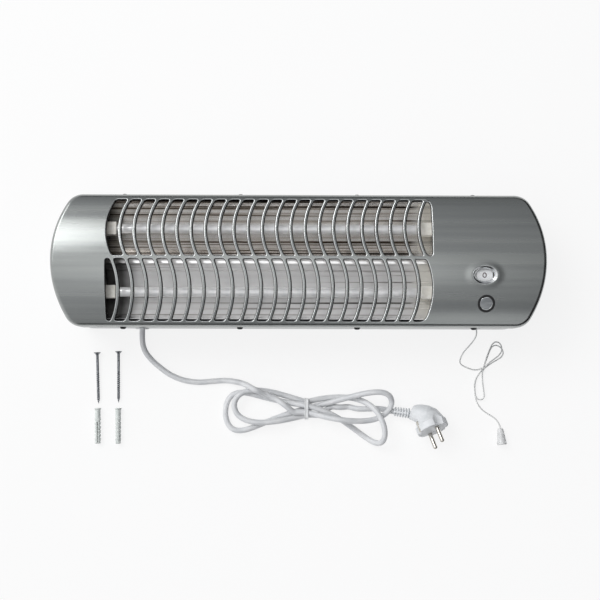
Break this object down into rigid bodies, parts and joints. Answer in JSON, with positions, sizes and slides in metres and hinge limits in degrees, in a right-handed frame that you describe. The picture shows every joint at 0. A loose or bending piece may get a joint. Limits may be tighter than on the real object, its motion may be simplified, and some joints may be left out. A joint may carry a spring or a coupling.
{
  "type": "electric bar heater",
  "caption": "Wall-mounted quartz bar heater with a curved slotted guard, pull-cord switch, tilting wall bracket and a supply lead with plug.",
  "frame": {"origin": "midway between the two wall holes of the bracket, on the wall plane", "axes": "+X along the heating bars, +Y up the wall, +Z out of the wall through the guard; lying on its back the heater rests on z = 0"},
  "size_m": [0.54, 0.2858, 0.0974],
  "materials": {
    "silver_paint": "satin grey stoved paint on pressed steel",
    "zinc_steel": "bright zinc-coated sheet",
    "black_screw": "black finished pan head",
    "bright_sheet": "bright rolled reflector sheet",
    "quartz": "milky quartz glass",
    "resistance_wire": "dark oxidised wound wire",
    "ceramic": null,
    "brass": "plain brass",
    "bright_trim": "bright plated trim ring",
    "clear_lens": "clear window",
    "badge_foil": "printed foil disc",
    "ivory_plastic": "ivory thermoset plastic",
    "white_plastic": "white moulded plastic",
    "knob_plastic": "slightly translucent white plastic",
    "spring_steel": "bright steel",
    "braided_cord": "white braided polyester",
    "white_lead": "white flexible sheath",
    "tie_plastic": "white plastic strip",
    "wire_insulation": "coloured silicone insulation",
    "nickel_brass": "nickel-plated brass"
  },
  "bodies": {
    "housing": {"front_cover": "silver_paint", "rear_tray": "zinc_steel", "cover_screws": "black_screw", "reflector_upper": "bright_sheet", "reflector_lower": "bright_sheet", "reflector_ridge": "bright_sheet", "end_plate_left": "bright_sheet", "end_plate_right": "bright_sheet", "quartz_tube_upper": "quartz", "quartz_tube_lower": "quartz", "heating_coil_upper": "resistance_wire", "heating_coil_lower": "resistance_wire", "ceramics_left": "ceramic", "ceramics_right": "ceramic", "tube_terminals": "brass", "terminal_link": "brass", "thermal_cutout": "zinc_steel", "indicator_bezel": "bright_trim", "indicator_lens": "clear_lens", "round_badge": "badge_foil", "switch_frame": "zinc_steel", "switch_block": "ivory_plastic", "return_spring": "spring_steel", "pull_cord_bush": "white_plastic", "lead_bush": "white_plastic", "lead_sleeve": "white_plastic", "inner_lead": "white_lead", "clamp_base": "ivory_plastic", "clamp_bar": "ivory_plastic", "clamp_screws": "spring_steel", "terminal_block": "ivory_plastic", "lead_cores": "wire_insulation", "inner_wires": "wire_insulation", "earth_screw": "brass", "hinge_bolts": "spring_steel", "hinge_nuts": "spring_steel", "wall_screws": "spring_steel", "wall_plugs": "white_plastic", "power_cord": "white_lead", "cord_hank": "white_lead", "cord_tail": "white_lead", "cord_tie": "tie_plastic", "plug_relief": "white_lead", "plug_body": "white_plastic", "plug_pins": "nickel_brass", "earth_contacts": "nickel_brass"},
    "bracket": {"wall_bracket": "zinc_steel"},
    "selector": {"number_wheel": "white_plastic", "ratchet_wheel": "brass", "switch_shaft": "spring_steel"},
    "lever": {"switch_lever": "brass", "drive_blade": "spring_steel"},
    "pull_cord": {"pull_rod_cord": "braided_cord", "stop_knot": "braided_cord", "pull_cord": "braided_cord", "bow_knot": "braided_cord", "pull_loops": "braided_cord", "pull_tail_cord": "braided_cord", "pull_knob": "knob_plastic"}
  },
  "joints": [
    {"name": "bracket_tilt", "type": "hinge", "parent": "housing", "child": "bracket", "pos_m": [0, -0.03, 0.006], "axis": [-1, 0, 0], "range_deg": [0, 30]},
    {"name": "selector_turn", "type": "hinge", "parent": "housing", "child": "selector", "pos_m": [0.202, -0.0171, 0.068], "axis": [1, 0, 0], "continuous": true},
    {"name": "lever_turn", "type": "hinge", "parent": "housing", "child": "lever", "pos_m": [0.214, -0.0171, 0.068], "axis": [-1, 0, 0], "range_deg": [0, 25]},
    {"name": "cord_pull", "type": "slide", "parent": "housing", "child": "pull_cord", "axis": [0, -1, 0], "range_m": [0, 0.013], "stiffness_N_per_m": 250}
  ],
  "couplings": [
    {"joint": "lever_turn", "follows": "cord_pull", "rad_per_m": 32.26}
  ]
}
